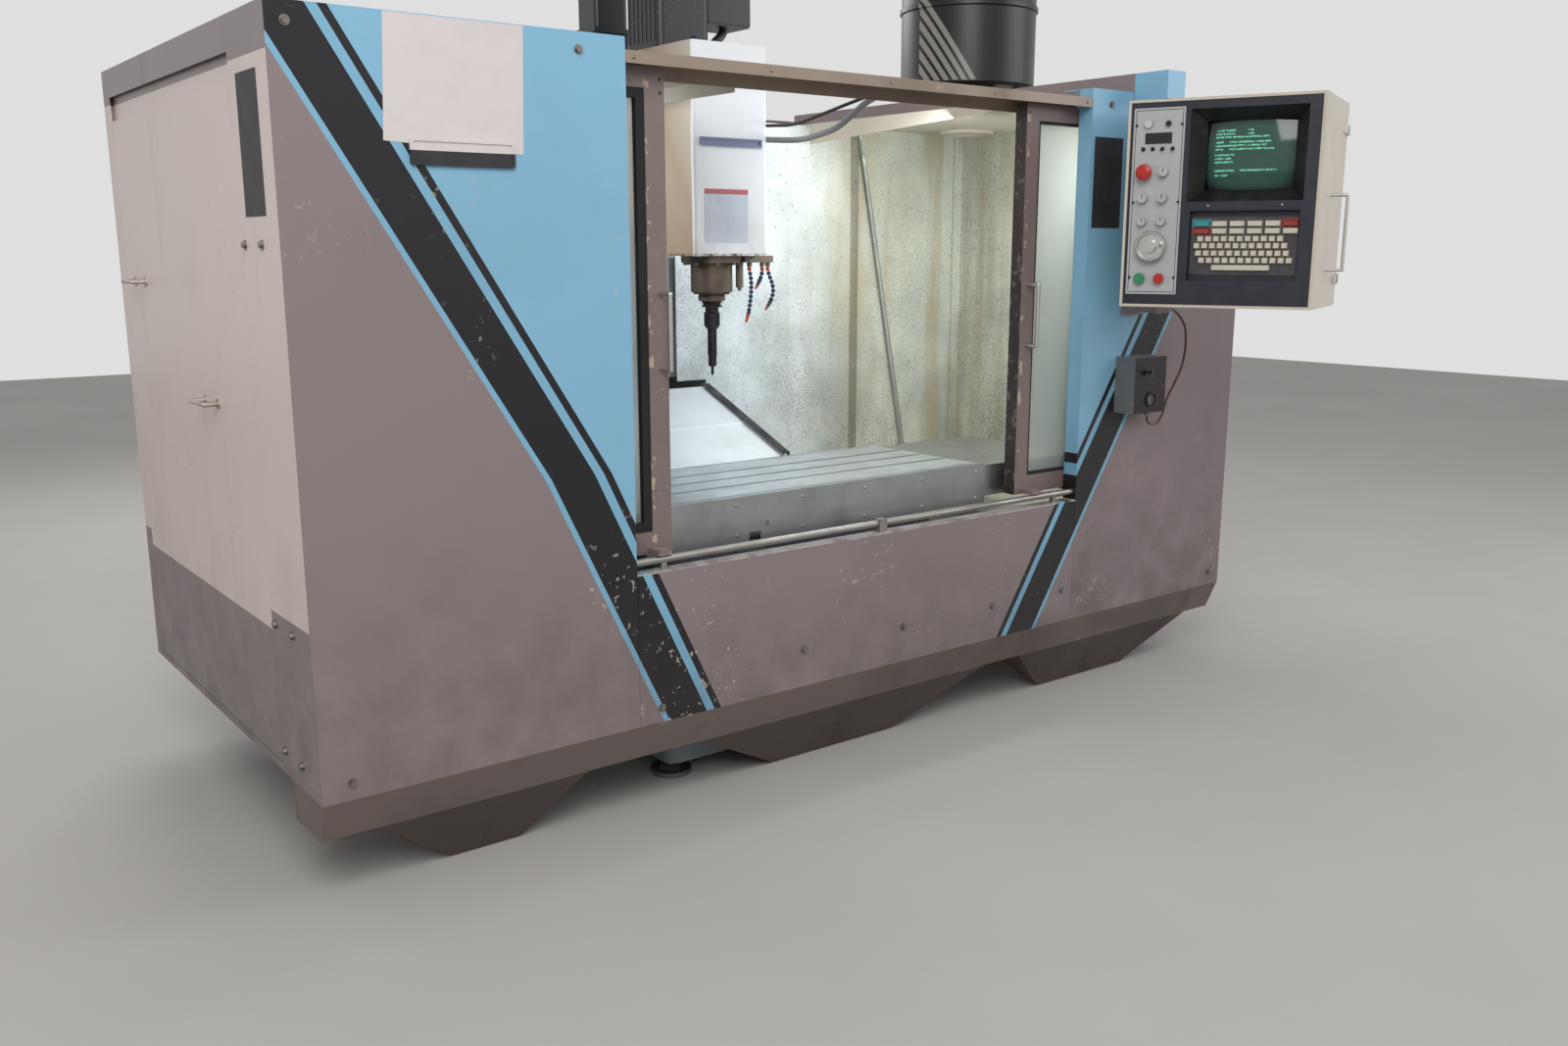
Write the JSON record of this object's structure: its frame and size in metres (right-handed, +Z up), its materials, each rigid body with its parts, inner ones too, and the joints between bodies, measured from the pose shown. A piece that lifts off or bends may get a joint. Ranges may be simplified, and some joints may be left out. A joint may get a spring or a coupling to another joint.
{
  "type": "cnc machining center",
  "caption": "Vertical CNC machining centre in a sheet-metal enclosure, with sliding doors, a travelling table, a spindle head, a tool drum and a swivelling control pendant.",
  "frame": {"origin": "on the floor straight below the spindle axis, at the underside of the middle levelling foot", "axes": "+X to the operator's right along the table's long travel, +Y from the doors towards the column, +Z up"},
  "size_m": [3.39, 2.7762, 2.829],
  "materials": {
    "machine_casting_grey": "satin",
    "foot_steel": "matt",
    "column_paint": "satin",
    "pan_brown": "matt",
    "panel_blue": "satin",
    "panel_mauve": "satin",
    "panel_cream": "satin",
    "wall_white": "satin",
    "beam_cream": "matt",
    "collector_black": "satin",
    "rail_steel": "worn",
    "door_brown": "worn",
    "window_clear": "clear",
    "cover_stainless": "brushed",
    "table_iron": "ground",
    "head_white": "satin",
    "cartridge_steel": "stained",
    "motor_black": "satin",
    "nozzle_blue": "matt",
    "tool_black": "blackened",
    "disc_grey": "satin",
    "arm_mauve": "satin",
    "shell_cream": "satin",
    "bezel_navy": "matt",
    "tube_glass": "gloss",
    "plate_silver": "brushed",
    "keys_cream": "matt",
    "knob_silver": "satin",
    "stop_red": "gloss",
    "start_green": "gloss",
    "box_grey": "satin",
    "plate_dark": "matt",
    "bolt_dark": "matt",
    "cable_brown": "matt",
    "cable_grey": "matt"
  },
  "bodies": {
    "frame": {"base_casting": "machine_casting_grey", "leveling_feet": "foot_steel", "column": "column_paint", "chip_pan": "pan_brown", "left_wing": "panel_blue", "right_wing": "panel_blue", "lower_front_panel": "panel_mauve", "left_side_frame": "panel_mauve", "access_panel": "panel_cream", "right_and_rear_panels": "panel_mauve", "splash_walls": "wall_white", "roof_front_beam": "beam_cream", "roof_plates": "wall_white", "mist_collector": "collector_black", "door_rails": "rail_steel", "magazine_rails": "rail_steel", "pendant_arms": "arm_mauve", "electrical_cabinet": "arm_mauve", "junction_box": "box_grey", "name_plates": "plate_dark", "panel_bolts": "bolt_dark", "pendant_cable": "cable_brown", "head_cables": "cable_grey"},
    "left_door_leaf": {"left_door": "door_brown", "left_door_window": "window_clear"},
    "right_door_leaf": {"right_door": "door_brown", "right_door_window": "window_clear"},
    "saddle_unit": {"saddle": "machine_casting_grey", "rear_way_cover": "cover_stainless"},
    "table_unit": {"table": "table_iron", "table_apron": "cover_stainless", "table_end_covers": "cover_stainless"},
    "head": {"head_casting": "machine_casting_grey", "head_cover": "head_white", "spindle_cartridge": "cartridge_steel", "spindle_motor": "motor_black", "coolant_nozzles": "nozzle_blue"},
    "spindle_unit": {"spindle": "cartridge_steel", "tool_holder": "tool_black"},
    "magazine_slide_unit": {"magazine_carriage": "machine_casting_grey"},
    "magazine_drum": {"magazine_disc": "disc_grey", "magazine_tools": "tool_black"},
    "pendant": {"pendant_shell": "shell_cream", "pendant_bezel": "bezel_navy", "screen_tube": "tube_glass", "operator_plate": "plate_silver", "keyboard": "keys_cream"},
    "pendant_back": {"pendant_back_cover": "shell_cream"},
    "rapid_selector": {"rapid_knob": "knob_silver"},
    "mode_selector": {"mode_knob": "knob_silver"},
    "axis_selector": {"axis_knob": "knob_silver"},
    "feed_override": {"feed_knob": "knob_silver"},
    "speed_override": {"speed_knob": "knob_silver"},
    "stop_button": {"emergency_stop": "stop_red"},
    "jog_dial": {"jog_wheel": "knob_silver"},
    "cycle_start": {"start_button": "start_green"},
    "feed_hold": {"hold_button": "stop_red"},
    "key_lock": {"key_switch": "knob_silver"},
    "cabinet_door_leaf": {"cabinet_door": "arm_mauve"},
    "main_switch": {"disconnect_switch": "stop_red"}
  },
  "joints": [
    {"name": "saddle_y", "type": "slide", "parent": "frame", "child": "saddle_unit", "axis": [0, 1, 0], "range_m": [0, 0.508]},
    {"name": "table_x", "type": "slide", "parent": "saddle_unit", "child": "table_unit", "axis": [1, 0, 0], "range_m": [-0.574, 0.442]},
    {"name": "head_z", "type": "slide", "parent": "frame", "child": "head", "axis": [0, 0, 1], "range_m": [-0.268, 0.094]},
    {"name": "spindle_spin", "type": "hinge", "parent": "head", "child": "spindle_unit", "pos_m": [0, 0, 1.4], "axis": [0, 0, 1], "continuous": true},
    {"name": "magazine_slide", "type": "slide", "parent": "frame", "child": "magazine_slide_unit", "axis": [1, 0, 0], "range_m": [0, 0.375]},
    {"name": "magazine_turn", "type": "hinge", "parent": "magazine_slide_unit", "child": "magazine_drum", "pos_m": [-0.64, 0, 1.316], "axis": [0, 0, 1], "continuous": true},
    {"name": "left_door_slide", "type": "slide", "parent": "frame", "child": "left_door_leaf", "axis": [1, 0, 0], "range_m": [0, 0.6995]},
    {"name": "right_door_slide", "type": "slide", "parent": "frame", "child": "right_door_leaf", "axis": [1, 0, 0], "range_m": [-0.6115, 0.087]},
    {"name": "pendant_swivel", "type": "hinge", "parent": "frame", "child": "pendant", "pos_m": [1.249, -0.75, 1.6], "axis": [0, 0, -1], "range_deg": [-68, 30]},
    {"name": "pendant_back_hinge", "type": "hinge", "parent": "pendant", "child": "pendant_back", "pos_m": [1.29469, -0.69918, 1.6193], "axis": [0, 0, 1], "range_deg": [0, 70]},
    {"name": "rapid_turn", "type": "hinge", "parent": "pendant", "child": "rapid_selector", "pos_m": [0.96282, -0.9573, 1.7113], "axis": [-0.9272, -0.3746, 0], "range_deg": [-45, 45]},
    {"name": "mode_turn", "type": "hinge", "parent": "pendant", "child": "mode_selector", "pos_m": [0.94109, -0.90352, 1.6373], "axis": [-0.9272, -0.3746, 0], "range_deg": [-105, 105]},
    {"name": "axis_turn", "type": "hinge", "parent": "pendant", "child": "axis_selector", "pos_m": [0.96282, -0.9573, 1.6373], "axis": [-0.9272, -0.3746, 0], "range_deg": [-60, 60]},
    {"name": "feed_turn", "type": "hinge", "parent": "pendant", "child": "feed_override", "pos_m": [0.94146, -0.90445, 1.5703], "axis": [-0.9272, -0.3746, 0], "range_deg": [-135, 135]},
    {"name": "speed_turn", "type": "hinge", "parent": "pendant", "child": "speed_override", "pos_m": [0.96282, -0.9573, 1.5703], "axis": [-0.9272, -0.3746, 0], "range_deg": [-135, 135]},
    {"name": "stop_press", "type": "slide", "parent": "pendant", "child": "stop_button", "axis": [0.9272, 0.3746, 0], "range_m": [0, 0.006]},
    {"name": "jog_turn", "type": "hinge", "parent": "pendant", "child": "jog_dial", "pos_m": [0.95308, -0.93319, 1.4973], "axis": [-0.9272, -0.3746, 0], "continuous": true},
    {"name": "start_press", "type": "slide", "parent": "pendant", "child": "cycle_start", "axis": [0.9272, 0.3746, 0], "range_m": [0, 0.004], "stiffness_N_per_m": 500, "springref_m": -0.001},
    {"name": "hold_press", "type": "slide", "parent": "pendant", "child": "feed_hold", "axis": [0.9272, 0.3746, 0], "range_m": [0, 0.004], "stiffness_N_per_m": 500, "springref_m": -0.001},
    {"name": "key_turn", "type": "hinge", "parent": "pendant", "child": "key_lock", "pos_m": [0.94296, -0.90816, 1.8503], "axis": [-0.9272, -0.3746, 0], "range_deg": [0, 90]},
    {"name": "cabinet_door_hinge", "type": "hinge", "parent": "frame", "child": "cabinet_door_leaf", "pos_m": [0.618, 1.4035, 1.17], "axis": [0, 0, 1], "range_deg": [-120, 0]},
    {"name": "main_switch_turn", "type": "hinge", "parent": "cabinet_door_leaf", "child": "main_switch", "pos_m": [-0.51, 1.3806, 1.47], "axis": [0, 1, 0], "range_deg": [0, 90]}
  ]
}
